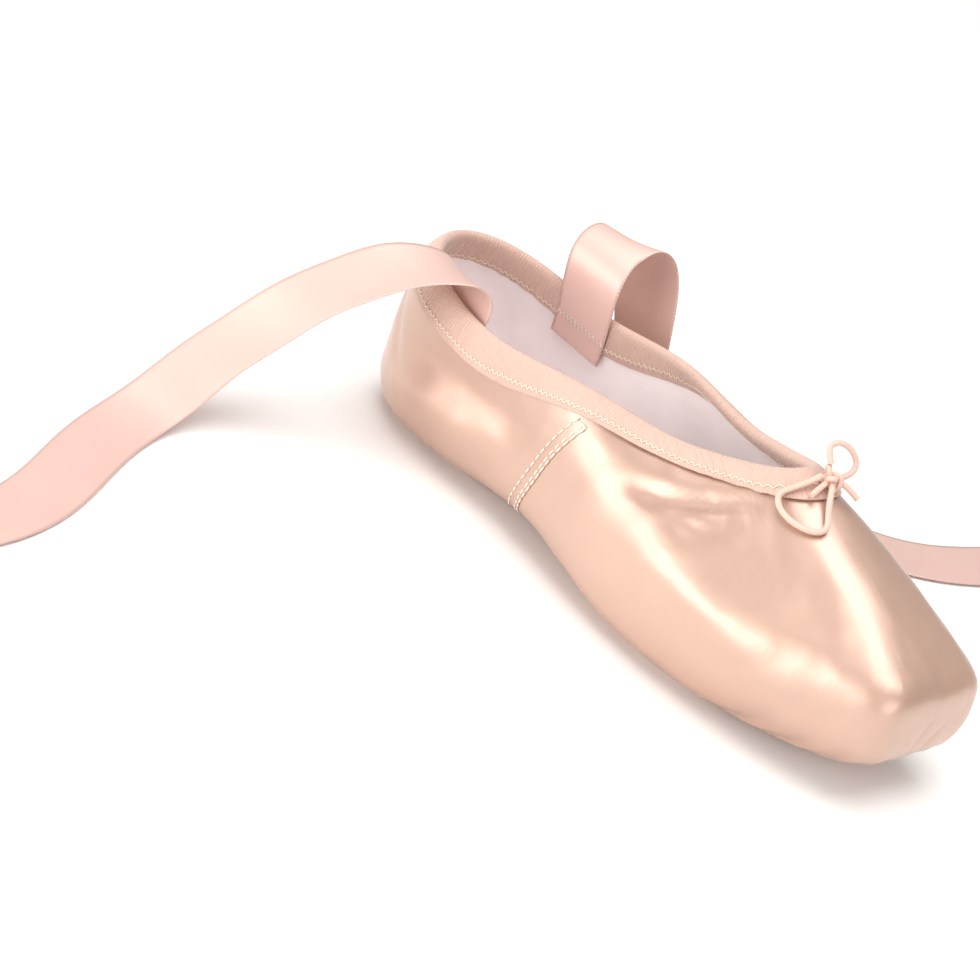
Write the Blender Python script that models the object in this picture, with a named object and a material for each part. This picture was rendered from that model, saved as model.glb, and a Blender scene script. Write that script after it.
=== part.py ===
"""Pointe shoe standing empty on its sole. Metres, +X to the toe, +Z up, floor at z = 0."""
import math

import bmesh
import bpy
import numpy as np
from mathutils import Matrix

# Overall sizes of the last
LENGTH = 0.232
BALL_WIDTH = 0.076
PLATFORM_WIDTH = 0.045
WAIST_WIDTH = 0.057
HEEL_WIDTH = 0.055
SIDE_HEIGHT = 0.021
THROAT_HEIGHT = 0.066
COLLAR_HEIGHT = 0.049
HEEL_HEIGHT = 0.056

# Outsole
SOLE_BALL_WIDTH = 0.052
SOLE_WAIST_WIDTH = 0.027
SOLE_HEEL_WIDTH = 0.031
SOLE_THICKNESS = 0.0020
SOLE_EDGE_ROUND = 0.0005
ARCH_RISE = 0.0045
TOE_SPRING = 0.0055

# Walls, tapes and the gap between pieces that touch
WALL = 0.0015
BOX_WALL = 0.0026
INSOLE_THICKNESS = 0.0018
INSOLE_INSET = 0.0012
BINDING_HEIGHT = 0.0115
BINDING_THICKNESS = 0.0007
SEAM_WIDTH = 0.0055
SEAM_THICKNESS = 0.0004
SEAM_TOP = 0.445
SEAM_FOOT = 0.345
GAP = 0.0003
BINDING_GAP = 0.0005

# Pleats under the toe box
PLEAT_COUNT = 13
PLEAT_DEPTH = 0.0011
PLEAT_SPREAD = 4.4

# Ribs of the last from toe to heel, for the left side. Column size names the width that the row's half
# widths follow, tread the outsole width, top the collar height. x is a share of LENGTH from the heel, y a
# share of half the width, z a share of the height. box says how square the rib is, from quarter to toe box.
RIB_COLUMNS = ("name", "size", "tread", "top", "sole_x", "sole_y", "side_x", "side_y", "rim_x", "rim_y",
               "rim_z", "box")
RIBS = (
    ("toe", PLATFORM_WIDTH, SOLE_BALL_WIDTH, THROAT_HEIGHT, .795, .00, 1.00, .00, .700, .00, 1.00, 1.00),
    ("platform", PLATFORM_WIDTH, SOLE_BALL_WIDTH, THROAT_HEIGHT, .791, .38, 1.00, .50, .695, .19, .993, 1.00),
    ("corner", PLATFORM_WIDTH, SOLE_BALL_WIDTH, THROAT_HEIGHT, .773, .69, .990, .95, .676, .36, .965, .92),
    ("box_fore", BALL_WIDTH, SOLE_BALL_WIDTH, THROAT_HEIGHT, .738, .88, .930, .71, .642, .285, .925, .72),
    ("box", BALL_WIDTH, SOLE_BALL_WIDTH, THROAT_HEIGHT, .688, .98, .835, .86, .590, .37, .875, .50),
    ("ball", BALL_WIDTH, SOLE_BALL_WIDTH, THROAT_HEIGHT, .620, 1.00, .712, .985, .527, .45, .825, .30),
    ("wing", BALL_WIDTH, SOLE_BALL_WIDTH, THROAT_HEIGHT, .545, .87, .585, .96, .458, .545, .785, .15),
    ("seam", BALL_WIDTH, SOLE_WAIST_WIDTH, COLLAR_HEIGHT, .455, 1.22, .460, .86, .386, .645, 1.02, .05),
    ("waist", WAIST_WIDTH, SOLE_WAIST_WIDTH, COLLAR_HEIGHT, .350, 1.00, .345, 1.00, .308, .93, 1.00, .00),
    ("heel_fore", HEEL_WIDTH, SOLE_HEEL_WIDTH, COLLAR_HEIGHT, .235, .94, .225, 1.00, .225, .94, 1.00, .00),
    ("heel_side", HEEL_WIDTH, SOLE_HEEL_WIDTH, COLLAR_HEIGHT, .130, 1.00, .115, .955, .140, .86, 1.05, .00),
    ("heel_corner", HEEL_WIDTH, SOLE_HEEL_WIDTH, HEEL_HEIGHT, .058, .66, .034, .60, .066, .56, .975, .00),
    ("heel", HEEL_WIDTH, SOLE_HEEL_WIDTH, HEEL_HEIGHT, .034, .00, .000, .00, .030, .00, 1.00, .00),
)

# Rings of the last from the hole under the sole to the collar. part 0 runs from sole to side, part 1 from
# side to rim; out and up are shares of the way, for the toe box and for the quarters. oval narrows the toe
# box's width there, which rounds the platform's outline.
RING_COLUMNS = ("name", "part", "box_out", "box_up", "oval", "quarter_out", "quarter_up")
RINGS = (
    ("hole", 0, -.16, .00, .00, -.30, .00),
    ("sole", 0, .00, .00, .00, .00, .00),
    ("tread", 0, .50, .04, .04, .52, .03),
    ("edge", 0, .90, .26, .15, .87, .30),
    ("foot", 0, 1.00, .60, .05, .98, .66),
    ("side", 0, 1.00, 1.00, .00, 1.00, 1.00),
    ("upper", 1, .00, .13, .03, .03, .30),
    ("shoulder", 1, .03, .25, .11, .10, .50),
    ("crest", 1, .15, .39, .17, .27, .68),
    ("cone", 1, .42, .64, .12, .50, .83),
    ("vamp", 1, .72, .84, .04, .75, .93),
    ("rim", 1, 1.00, 1.00, .00, 1.00, 1.00),
)

RIB_TURN = 2 * (len(RIBS) - 1)
RIM = len(RINGS) - 1
SEAM_RING = 1.25
RING_STEPS = 20
INNER_STEPS = 12
SAMPLES_PER_PLEAT = 4
QUARTER_SAMPLES = 36

# Drawstring bow at the throat: a knot, two loops and two cut ends of thin round cord
CORD_DIAMETER = 0.0018
KNOT_CENTRE = (0.0545, 0.0004, 0.0700)
KNOT_RADII = (0.0044, 0.0030, 0.0026)
KNOT_SLOPE = math.radians(19)
LOOP_RIGHT = (
    (0.0536, -0.0031, 0.0708), (0.0524, -0.0075, 0.0679), (0.0502, -0.0111, 0.0655), (0.0489, -0.0136, 0.0632),
    (0.0519, -0.0150, 0.0608), (0.0576, -0.0150, 0.0596), (0.0640, -0.0130, 0.0599), (0.0664, -0.0100, 0.0611),
    (0.0644, -0.0076, 0.0627), (0.0619, -0.0060, 0.0647), (0.0580, -0.0023, 0.0683),
)
LOOP_LEFT = (
    (0.0527, 0.0005, 0.0737), (0.0507, 0.0006, 0.0757), (0.0492, 0.0014, 0.0778), (0.0502, 0.0038, 0.0792),
    (0.0521, 0.0066, 0.0782), (0.0543, 0.0088, 0.0756), (0.0555, 0.0090, 0.0726), (0.0557, 0.0068, 0.0709),
    (0.0555, 0.0036, 0.0703),
)
END_RIGHT = ((0.0553, -0.0027, 0.0689), (0.0555, -0.0049, 0.0678), (0.0559, -0.0078, 0.0662))
END_LEFT = ((0.0581, 0.0029, 0.0695), (0.0603, 0.0045, 0.0681), (0.0620, 0.0056, 0.0668))

# Ribbons: centre points and the turn of the width in plan, in degrees from +X
RIBBON_WIDTH = 0.022
RIBBON_THICKNESS = 0.0004
RIBBON_SECTIONS = 54
RIBBON_RIGHT = (
    (-0.0776, -0.0232, 0.0375, -5), (-0.0772, -0.0230, 0.0430, -5), (-0.0766, -0.0220, 0.0485, -6),
    (-0.0764, -0.0206, 0.0535, -7), (-0.0768, -0.0201, 0.0580, -8), (-0.0790, -0.0238, 0.0626, -7),
    (-0.0842, -0.0323, 0.0628, -5), (-0.0910, -0.0422, 0.0590, -4), (-0.0984, -0.0526, 0.0505, -3),
    (-0.1054, -0.0636, 0.0386, -1), (-0.1110, -0.0752, 0.0256, 3), (-0.1140, -0.0868, 0.0134, 9),
    (-0.1140, -0.0982, 0.0046, 15), (-0.1112, -0.1100, 0.0012, 21), (-0.1055, -0.1230, 0.0008, 27),
    (-0.0975, -0.1365, 0.0008, 31), (-0.0885, -0.1500, 0.0008, 31), (-0.0805, -0.1645, 0.0008, 24),
    (-0.0755, -0.1800, 0.0008, 12), (-0.0745, -0.1960, 0.0008, -2), (-0.0775, -0.2120, 0.0008, -16),
)
RIBBON_LEFT = (
    (-0.0680, 0.0239, 0.0370, 1), (-0.0677, 0.0237, 0.0430, 1), (-0.0674, 0.0228, 0.0488, 2),
    (-0.0672, 0.0215, 0.0543, 4), (-0.0674, 0.0210, 0.0600, 5), (-0.0683, 0.0218, 0.0656, 6),
    (-0.0696, 0.0246, 0.0704, 8), (-0.0705, 0.0292, 0.0735, 11), (-0.0701, 0.0346, 0.0744, 15),
    (-0.0687, 0.0394, 0.0722, 19), (-0.0669, 0.0426, 0.0676, 22), (-0.0649, 0.0442, 0.0614, 22),
    (-0.0629, 0.0449, 0.0545, 18), (-0.0609, 0.0453, 0.0472, 11), (-0.0588, 0.0458, 0.0396, 2),
    (-0.0565, 0.0468, 0.0316, -8), (-0.0539, 0.0486, 0.0238, -18), (-0.0504, 0.0520, 0.0162, -27),
    (-0.0460, 0.0572, 0.0092, -33), (-0.0405, 0.0640, 0.0038, -37), (-0.0345, 0.0712, 0.0012, -43),
    (-0.0275, 0.0778, 0.0008, -50), (-0.0195, 0.0836, 0.0008, -56), (-0.0110, 0.0888, 0.0008, -60),
    (-0.0025, 0.0935, 0.0008, -60), (0.0062, 0.0982, 0.0008, -56), (0.0145, 0.1038, 0.0008, -49),
    (0.0217, 0.1112, 0.0008, -39), (0.0274, 0.1200, 0.0008, -29), (0.0315, 0.1300, 0.0008, -21),
    (0.0346, 0.1405, 0.0008, -16), (0.0370, 0.1512, 0.0008, -13),
)

# Colours of the materials
SATIN = (0.90, 0.70, 0.58)
TAPE = (0.88, 0.66, 0.54)
LEATHER = (0.74, 0.52, 0.42)
SOCK = (0.80, 0.76, 0.76)
RIBBON = (0.89, 0.66, 0.61)


def clear_scene():
    for old in list(bpy.data.objects):
        bpy.data.objects.remove(old, do_unlink=True)


def material(name, colour, roughness):
    """A Principled material of one colour."""
    made = bpy.data.materials.new(name)
    made.use_nodes = True
    shader = made.node_tree.nodes["Principled BSDF"]
    shader.inputs["Base Color"].default_value = (*colour, 1)
    shader.inputs["Roughness"].default_value = roughness
    shader.inputs["Metallic"].default_value = 0
    return made


def sole_line(x):
    """Height of the tread over the floor: flat at heel and forefoot, an arch between, a lift at the toe."""
    share = x / LENGTH + 0.5
    heel_end, ball_start, ball_end = 0.21, 0.58, 0.72
    if heel_end < share < ball_start:
        return ARCH_RISE * math.sin(math.pi * (share - heel_end) / (ball_start - heel_end)) ** 2
    if share > ball_end:
        return TOE_SPRING * ((share - ball_end) / (1 - ball_end)) ** 1.6
    return 0.0


def rib_points(row):
    """The twelve control points of one rib, before the sole's line is added."""
    rib = dict(zip(RIB_COLUMNS, row))
    half = rib["size"] / 2
    sole = np.array((rib["sole_x"] * LENGTH, rib["sole_y"] * rib["tread"] / 2, 0.0))
    side = np.array((rib["side_x"] * LENGTH, rib["side_y"] * half, SIDE_HEIGHT))
    rim = np.array((rib["rim_x"] * LENGTH, rib["rim_y"] * half, rib["rim_z"] * rib["top"]))
    points = []
    for ring_row in RINGS:
        ring = dict(zip(RING_COLUMNS, ring_row))
        out = rib["box"] * ring["box_out"] + (1 - rib["box"]) * ring["quarter_out"]
        up = rib["box"] * ring["box_up"] + (1 - rib["box"]) * ring["quarter_up"]
        start, end = (sole, side) if ring["part"] == 0 else (side, rim)
        point = start + (end - start) * np.array((out, out, up))
        point[1] *= 1 - rib["box"] * ring["oval"]
        points.append(point)
    return np.array(points)


def last_net():
    """Control points of the last, ribs round the shoe by rings up it, pulled so that the smooth surface
    passes close to the tables' own points."""
    left = np.array([rib_points(row) for row in RIBS])
    right = left[1:-1][::-1] * np.array((1, -1, 1))
    net = np.concatenate((left, right))
    around = (np.roll(net, 1, axis=0) + 4 * net + np.roll(net, -1, axis=0)) / 6
    net = 2 * net - around
    up = net.copy()
    up[:, 1:-1] = (net[:, :-2] + 4 * net[:, 1:-1] + net[:, 2:]) / 6
    net = 2 * net - up
    net[:, :, 0] -= LENGTH / 2
    return net


NET = last_net()


def spline_weights(t):
    """The four weights of a uniform cubic B-spline."""
    return (
        (1 - t) ** 3 / 6,
        (3 * t ** 3 - 6 * t ** 2 + 4) / 6,
        (-3 * t ** 3 + 3 * t ** 2 + 3 * t + 1) / 6,
        t ** 3 / 6,
    )


def last_point(rib, ring):
    """Point of the last at a place round it, 0 to RIB_TURN, and up it, 0 at the hole to RIM."""
    cell = min(int(ring), RIM - 1)
    columns = []
    for step in range(-1, 3):
        index = cell + step
        if index < 0:
            columns.append(2 * NET[:, 0] - NET[:, 1])
        elif index > RIM:
            columns.append(2 * NET[:, RIM] - NET[:, RIM - 1])
        else:
            columns.append(NET[:, index])
    curve = sum(w * c for w, c in zip(spline_weights(ring - cell), columns))
    turn = rib % RIB_TURN
    start = int(turn)
    point = sum(w * curve[(start + step) % RIB_TURN]
                for w, step in zip(spline_weights(turn - start), range(-1, 3)))
    point = np.array(point)
    point[2] = max(point[2], 0) + sole_line(point[0]) + SOLE_THICKNESS + GAP
    return point


def outward(rib, ring):
    """Unit normal of the last, pointing out of the shoe."""
    step = 0.02
    low, high = max(ring - step, 0), min(ring + step, RIM)
    along = last_point(rib + step, ring) - last_point(rib - step, ring)
    up = last_point(rib, high) - last_point(rib, low)
    normal = np.cross(along, up)
    return normal / np.linalg.norm(normal)


def toe_share(rib):
    """How much a rib belongs to the toe box: 1 at the toe, 0 from the wings back."""
    away = abs((rib + RIB_TURN / 2) % RIB_TURN - RIB_TURN / 2)
    return max(0.0, min(1.0, (PLEAT_SPREAD + 1.6 - away) / 3))


def wall(rib):
    """Wall thickness: a stiff box at the toe, satin on canvas behind it."""
    return WALL + (BOX_WALL - WALL) * toe_share(rib)


def pleat(rib, ring):
    """Depth of the pleats that fan out from the front of the outsole."""
    away = (rib + RIB_TURN / 2) % RIB_TURN - RIB_TURN / 2
    if abs(away) >= PLEAT_SPREAD:
        return 0.0
    phase = 2 * math.pi * PLEAT_COUNT * (away + PLEAT_SPREAD) / (2 * PLEAT_SPREAD)
    fan = max(0.0, min(1.0, (ring - 0.6) / 0.7)) * max(0.0, min(1.0, (4.4 - ring) / 2.4))
    side_fade = min(1.0, (PLEAT_SPREAD - abs(away)) / 0.6)
    return PLEAT_DEPTH * fan * side_fade * (0.5 + 0.5 * math.cos(phase))


def shell_point(rib, ring, depth):
    """Point of the last moved inwards by depth; a negative depth lies outside it."""
    return last_point(rib, ring) - outward(rib, ring) * depth


def ring_below_rim(rib, distance):
    """The ring that lies the given distance down the last's surface from the collar."""
    ring, passed, step = float(RIM), 0.0, 0.04
    before = last_point(rib, ring)
    while passed < distance:
        ring -= step
        here = last_point(rib, ring)
        passed += float(np.linalg.norm(here - before))
        before = here
    return ring


def rib_samples():
    """Places round the shoe, four to a pleat at the toe and even behind it."""
    toe_count = PLEAT_COUNT * SAMPLES_PER_PLEAT
    toe = [-PLEAT_SPREAD + 2 * PLEAT_SPREAD * k / toe_count for k in range(toe_count)]
    rest = RIB_TURN - 2 * PLEAT_SPREAD
    quarter = [PLEAT_SPREAD + rest * k / QUARTER_SAMPLES for k in range(QUARTER_SAMPLES)]
    return toe + quarter


def add_loops(bm, loops, closed):
    """Join loops of points into a skin with bridged rows; closed joins the last loop to the first."""
    rows = [[bm.verts.new(point) for point in loop] for loop in loops]
    pairs = list(zip(rows, rows[1:]))
    if closed:
        pairs.append((rows[-1], rows[0]))
    for low, high in pairs:
        for k in range(len(low)):
            after = (k + 1) % len(low)
            bm.faces.new((low[k], low[after], high[after], high[k]))
    return rows


def add_object(name, bm, finish):
    """Turn a bmesh into a named object with one material, faces pointing out."""
    bmesh.ops.recalc_face_normals(bm, faces=bm.faces)
    if bm.calc_volume(signed=True) < 0:
        bmesh.ops.reverse_faces(bm, faces=bm.faces)
    mesh = bpy.data.meshes.new(name)
    bm.to_mesh(mesh)
    bm.free()
    mesh.materials.append(finish)
    mesh.shade_smooth()
    mesh.set_sharp_from_angle(angle=math.radians(35))
    made = bpy.data.objects.new(name, mesh)
    bpy.context.collection.objects.link(made)
    return made


def build_upper(finish):
    """Hollow upper: the last's surface outside, the same surface one wall further in, rims joining them."""
    samples = rib_samples()
    outer_rings = [RIM * k / RING_STEPS for k in range(RING_STEPS + 1)]
    inner_rings = [RIM * k / INNER_STEPS for k in range(INNER_STEPS + 1)]
    loops = [[shell_point(rib, ring, pleat(rib, ring)) for rib in samples] for ring in outer_rings]
    loops += [[shell_point(rib, ring, wall(rib)) for rib in samples] for ring in reversed(inner_rings)]
    bm = bmesh.new()
    add_loops(bm, loops, closed=True)
    return add_object("upper", bm, finish)


def tread_outline(grow, count=72):
    """Outline of the outsole, a point for each place round the shoe, grown or shrunk in the plane."""
    places = [RIB_TURN * k / count for k in range(count)]
    edge = np.array([last_point(place, 1.0)[:2] for place in places])
    along = np.roll(edge, -1, axis=0) - np.roll(edge, 1, axis=0)
    out = np.stack((along[:, 1], -along[:, 0]), axis=1)
    out /= np.linalg.norm(out, axis=1)[:, None]
    out *= -1 if (out * edge).sum() < 0 else 1
    return edge + out * grow


def plate(name, layers, finish):
    """A thin plate that follows the sole's line. Each layer has its outline's growth and its height over the
    tread; the caps are strips from left to right, so they are flat across."""
    bm = bmesh.new()
    loops = []
    for grow, height in layers:
        outline = tread_outline(grow)
        loops.append([(x, y, sole_line(x) + height) for x, y in outline])
    rows = add_loops(bm, loops, closed=False)
    count = len(rows[0])
    for row in (rows[0], rows[-1]):
        for k in range(count // 2):
            left, left_next = row[k], row[k + 1]
            right, right_next = row[-k % count], row[-(k + 1) % count]
            corners = [left, left_next, right_next, right]
            bm.faces.new([v for i, v in enumerate(corners) if v not in corners[:i]])
    return add_object(name, bm, finish)


def build_outsole(finish):
    layers = (
        (-SOLE_EDGE_ROUND, 0),
        (0, SOLE_EDGE_ROUND),
        (0, SOLE_THICKNESS - SOLE_EDGE_ROUND / 2),
        (-SOLE_EDGE_ROUND / 2, SOLE_THICKNESS),
    )
    return plate("outsole", layers, finish)


def build_insole(finish):
    floor = SOLE_THICKNESS + GAP + BOX_WALL + GAP
    layers = (
        (-INSOLE_INSET, floor),
        (-INSOLE_INSET, floor + INSOLE_THICKNESS - SOLE_EDGE_ROUND),
        (-INSOLE_INSET - SOLE_EDGE_ROUND, floor + INSOLE_THICKNESS),
    )
    return plate("insole", layers, finish)


def build_binding(finish):
    """Folded tape over the collar's edge, cut between two larger forms of the last."""
    bm = bmesh.new()
    sections = []
    for rib in rib_samples():
        foot = ring_below_rim(rib, BINDING_HEIGHT)
        middle = (foot + RIM) / 2
        depth = wall(rib)
        near = BINDING_GAP
        far = near + BINDING_THICKNESS
        normal = outward(rib, RIM)
        up = last_point(rib, RIM) - last_point(rib, RIM - 0.2)
        up /= np.linalg.norm(up)
        rim = last_point(rib, RIM)
        sections.append((
            shell_point(rib, foot, -far),
            shell_point(rib, middle, -far),
            rim + normal * far,
            rim - normal * depth / 2 + up * far * 1.3,
            rim - normal * (depth + far),
            shell_point(rib, middle, depth + far),
            shell_point(rib, foot, depth + far),
            shell_point(rib, foot, depth + near),
            shell_point(rib, middle, depth + near),
            rim - normal * (depth + near) + up * near,
            rim + normal * near + up * near,
            shell_point(rib, middle, -near),
            shell_point(rib, foot, -near),
        ))
    add_loops(bm, list(zip(*sections)), closed=True)
    return add_object("collar_binding", bm, finish)


def rib_at(x, ring):
    """The rib of the left side that passes the given x at a ring."""
    front, back = 3.0, RIB_TURN / 2 - 1.0
    for _ in range(24):
        middle = (front + back) / 2
        if last_point(middle, ring)[0] > x:
            front = middle
        else:
            back = middle
    return (front + back) / 2


def build_side_seam(name, side, finish):
    """Raised seam from the binding down to the outsole, leaning back as it goes down."""
    steps = 14
    bm = bmesh.new()
    loops = []
    for step in range(steps + 1):
        share = step / steps
        x = LENGTH * (SEAM_FOOT + (SEAM_TOP - SEAM_FOOT) * share ** 0.8 - 0.5)
        top_ring = ring_below_rim(rib_at(x, RIM - 2), BINDING_HEIGHT + SEAM_WIDTH / 3)
        ring = SEAM_RING + (top_ring - SEAM_RING) * share
        rib = rib_at(x, ring)
        here = last_point(rib, ring)
        span = np.linalg.norm(last_point(rib + 0.1, ring) - here) / 0.1
        half = SEAM_WIDTH / 2 / span
        near = BINDING_GAP
        far = near + SEAM_THICKNESS
        section = ((-half, near), (0, near), (half, near), (half * 0.8, far), (0, far), (-half * 0.8, far))
        loops.append([shell_point(side * (rib + away), ring, -lift) for away, lift in section])
    rows = add_loops(bm, loops, closed=False)
    bm.faces.new(rows[0])
    bm.faces.new(rows[-1])
    return add_object(name, bm, finish)


def route(points, count):
    """Places along a smooth curve that starts and ends at the list's own ends."""
    points = np.array(points, float)
    ends = np.concatenate(([2 * points[0] - points[1]], points, [2 * points[-1] - points[-2]]))
    placed = []
    for k in range(count):
        t = (len(points) - 1) * k / (count - 1)
        cell = min(int(t), len(points) - 2)
        placed.append(sum(w * ends[cell + step] for step, w in enumerate(spline_weights(t - cell))))
    return np.array(placed)


def build_cord(name, points, finish):
    """A round cord along a route, with flat cut ends."""
    length = sum(math.dist(a, b) for a, b in zip(points, points[1:]))
    placed = route(points, max(4, round(length / (1.2 * CORD_DIAMETER)) + 1))
    curve = bpy.data.curves.new(name, "CURVE")
    curve.dimensions = "3D"
    curve.bevel_depth = CORD_DIAMETER / 2
    curve.bevel_resolution = 2
    curve.use_fill_caps = True
    spline = curve.splines.new("POLY")
    spline.points.add(len(placed) - 1)
    for point, place in zip(spline.points, placed):
        point.co = (*place, 1)
    curve.materials.append(finish)
    made = bpy.data.objects.new(name, curve)
    bpy.context.collection.objects.link(made)
    return made


def build_knot(finish):
    """The bow's knot, a small lump that lies on the vamp's slope."""
    bm = bmesh.new()
    bmesh.ops.create_uvsphere(bm, u_segments=12, v_segments=8, radius=1)
    bmesh.ops.scale(bm, vec=KNOT_RADII, verts=bm.verts)
    bmesh.ops.rotate(bm, cent=(0, 0, 0), matrix=Matrix.Rotation(KNOT_SLOPE, 3, "Y"), verts=bm.verts)
    bmesh.ops.translate(bm, vec=KNOT_CENTRE, verts=bm.verts)
    return add_object("drawstring_knot", bm, finish)


def build_ribbon(name, rows, finish):
    """A flat ribbon swept along its route, its width turned in plan as the rows say. Both faces are cut along
    the same diagonals, so they stay a thickness apart where the ribbon twists."""
    placed = route(rows, RIBBON_SECTIONS)
    centre = placed[:, :3]
    along = np.gradient(centre, axis=0)
    along /= np.linalg.norm(along, axis=1)[:, None]
    turn = np.radians(placed[:, 3])
    across = np.stack((np.cos(turn), np.sin(turn), 0 * turn), axis=1)
    across -= along * (across * along).sum(axis=1)[:, None]
    across /= np.linalg.norm(across, axis=1)[:, None]
    face = np.cross(along, across)
    half, lift = RIBBON_WIDTH / 2, RIBBON_THICKNESS / 2
    corners = ((-half, -lift), (half, -lift), (half, lift), (-half, lift))
    bm = bmesh.new()
    sections = [[bm.verts.new(c + a * side + f * up) for side, up in corners]
                for c, a, f in zip(centre, across, face)]
    for low, high in zip(sections, sections[1:]):
        for left, right in ((0, 1), (3, 2)):
            bm.faces.new((low[left], low[right], high[right]))
            bm.faces.new((low[left], high[right], high[left]))
        for edge, opposite in ((1, 2), (3, 0)):
            bm.faces.new((low[edge], low[opposite], high[opposite], high[edge]))
    bm.faces.new(sections[0])
    bm.faces.new(sections[-1])
    return add_object(name, bm, finish)


def main():
    clear_scene()
    satin = material("satin", SATIN, 0.35)
    tape = material("tape", TAPE, 0.8)
    leather = material("leather", LEATHER, 0.7)
    sock = material("sock", SOCK, 0.9)
    build_upper(satin)
    build_outsole(leather)
    build_insole(sock)
    build_binding(tape)
    build_side_seam("side_seam_left", 1, satin)
    build_side_seam("side_seam_right", -1, satin)
    build_knot(tape)
    build_cord("drawstring_loop_right", LOOP_RIGHT, tape)
    build_cord("drawstring_loop_left", LOOP_LEFT, tape)
    build_cord("drawstring_end_right", END_RIGHT, tape)
    build_cord("drawstring_end_left", END_LEFT, tape)
    ribbon = material("ribbon", RIBBON, 0.35)
    build_ribbon("ribbon_right", RIBBON_RIGHT, ribbon)
    build_ribbon("ribbon_left", RIBBON_LEFT, ribbon)


main()
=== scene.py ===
"""Pointe shoe: satin, tape, lining, stitches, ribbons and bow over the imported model, in metres."""

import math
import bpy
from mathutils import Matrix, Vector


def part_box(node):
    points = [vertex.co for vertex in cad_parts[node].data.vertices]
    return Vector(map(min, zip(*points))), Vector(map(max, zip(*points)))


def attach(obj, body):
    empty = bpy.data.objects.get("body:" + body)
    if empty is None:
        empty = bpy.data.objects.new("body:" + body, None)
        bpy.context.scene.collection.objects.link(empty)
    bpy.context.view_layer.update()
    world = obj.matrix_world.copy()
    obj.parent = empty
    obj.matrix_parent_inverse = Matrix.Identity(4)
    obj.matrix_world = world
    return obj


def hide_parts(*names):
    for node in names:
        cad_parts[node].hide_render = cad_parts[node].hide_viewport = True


bl_info = {
    "name": "Pointe Shoe",
    "version": (1, 0, 0),
    "blender": (4, 5, 0),
    "location": "3D View > Sidebar > Pointe Shoe",
    "description": "Dresses one pointe shoe with satin, tape, stitches, ribbons and a bow",
    "category": "Object",
}

import bmesh
import bpy
import numpy as np
from bpy.props import FloatProperty, FloatVectorProperty, PointerProperty
from mathutils import Matrix, Vector, noise
from mathutils.bvhtree import BVHTree

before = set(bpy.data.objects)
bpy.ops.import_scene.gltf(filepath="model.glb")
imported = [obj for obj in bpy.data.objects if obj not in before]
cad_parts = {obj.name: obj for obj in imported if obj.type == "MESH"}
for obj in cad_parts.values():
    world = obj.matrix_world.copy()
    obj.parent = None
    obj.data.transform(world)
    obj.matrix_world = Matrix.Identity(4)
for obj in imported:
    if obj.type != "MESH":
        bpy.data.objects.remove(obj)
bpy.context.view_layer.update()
BODY = "root"
MM = 0.001

# Camera: where it stands round the shoe, its roll and distance, and where the shoe lies in the picture
CAMERA_AZIMUTH = math.radians(-54.1)
CAMERA_ELEVATION = math.radians(27)
CAMERA_ROLL = math.radians(21.1)
CAMERA_DISTANCE = 0.9
CAMERA_TARGET = Vector((0, 0, 0.030))
PICTURE_SIZE = 980
FOCAL_PIXELS = 3012
TARGET_PIXEL = (657, 492)
SENSOR = 36

# Floor, soft lights with their place, size and power, and the pale world
FLOOR_LEVEL = -0.0003
FLOOR_HALF_SIZE = 12
LIGHTS = (
    ("overhead", (0.06, -0.02, 1.25), (1.1, 1.15), 15.5, (1, 0.99, 0.975)),
    ("low front", (-0.43, -1.18, 0.32), (1.3, 0.72), 13.5, (1, 0.985, 0.965)),
    ("toe side", (1.05, -0.45, 0.38), (0.7, 0.5), 3.2, (1, 0.985, 0.965)),
)
WORLD_COLOUR = (1.0, 0.985, 0.97, 1)
WORLD_STRENGTH = 0.5

# Collar's ridge from throat to heel, left side, in millimetres
COLLAR = (
    (44.5, 0, 67.6), (43.4, 3.6, 67.2), (39.2, 6.9, 65.5), (31.4, 9.6, 62.9), (19.5, 12.8, 59.6),
    (4.9, 16.0, 57.4), (-11.1, 19.7, 57.4), (-27.8, 23.4, 56.8), (-45.8, 25.4, 54.4), (-63.8, 24.9, 52.8),
    (-82.6, 22.5, 54.7), (-91.6, 19.4, 56.2), (-99.4, 14.5, 57.7), (-104.9, 7.7, 58.6), (-107.1, 0, 59.0),
)

# Middle of the side seam from the tape down to the sole, left side, in millimetres
SIDE_SEAM = (
    (-12.8, 28.8, 50.4), (-15.5, 30.5, 45.1), (-18.2, 30.9, 39.0), (-21.1, 30.7, 30.9), (-24.2, 30.1, 22.5),
    (-27.4, 28.2, 14.5), (-31.1, 23.0, 8.1), (-36.0, 15.6, 6.0),
)

# Drawstring bow, the same routes as the solids, in metres
CORD_DIAMETER = 0.0018
KNOT_CENTRE = (0.0545, 0.0004, 0.0700)
KNOT_RADII = (0.0044, 0.0030, 0.0026)
KNOT_SLOPE = math.radians(19)
LOOP_RIGHT = (
    (0.0536, -0.0031, 0.0708), (0.0524, -0.0075, 0.0679), (0.0502, -0.0111, 0.0655),
    (0.0489, -0.0136, 0.0632), (0.0519, -0.0150, 0.0608), (0.0576, -0.0150, 0.0596),
    (0.0640, -0.0130, 0.0599), (0.0664, -0.0100, 0.0611), (0.0644, -0.0076, 0.0627),
    (0.0619, -0.0060, 0.0647), (0.0580, -0.0023, 0.0683),
)
LOOP_LEFT = (
    (0.0527, 0.0005, 0.0737), (0.0507, 0.0006, 0.0757), (0.0492, 0.0014, 0.0778), (0.0502, 0.0038, 0.0792),
    (0.0521, 0.0066, 0.0782), (0.0543, 0.0088, 0.0756), (0.0555, 0.0090, 0.0726), (0.0557, 0.0068, 0.0709),
    (0.0555, 0.0036, 0.0703),
)
END_RIGHT = ((0.0553, -0.0027, 0.0689), (0.0555, -0.0049, 0.0678), (0.0559, -0.0078, 0.0662))
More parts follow.
